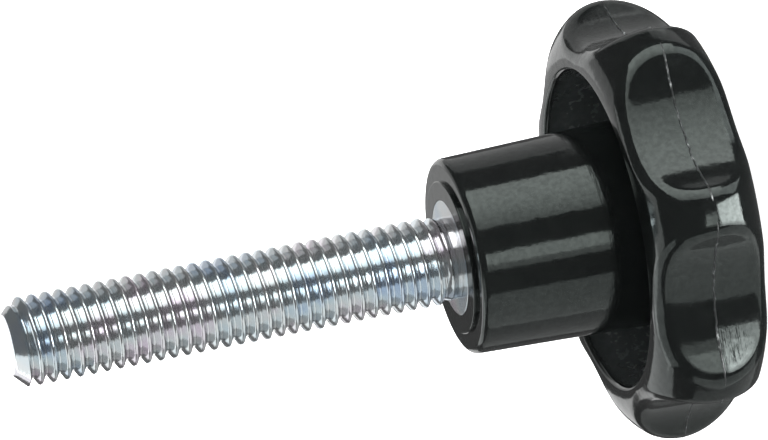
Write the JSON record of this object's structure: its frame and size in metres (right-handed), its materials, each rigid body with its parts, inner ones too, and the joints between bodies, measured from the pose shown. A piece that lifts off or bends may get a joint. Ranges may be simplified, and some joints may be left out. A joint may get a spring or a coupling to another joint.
{
  "type": "star knob",
  "caption": "Lobed clamping knob in glossy black plastic with a cupped rim, a tapered hub and a long threaded steel stud.",
  "frame": {"origin": "centre of the hub's clamping face, on the stud's axis", "axes": "+Z along the stud towards its tip; -Y through the crest of one lobe"},
  "size_m": [0.0492, 0.0482, 0.0797],
  "materials": {
    "black_plastic": "glossy moulded thermoset with a fine parting line round the rim",
    "zinc_steel": "bright zinc plating on rolled thread"
  },
  "bodies": {
    "root": {"knob": "black_plastic", "stud": "zinc_steel"}
  },
  "joints": []
}
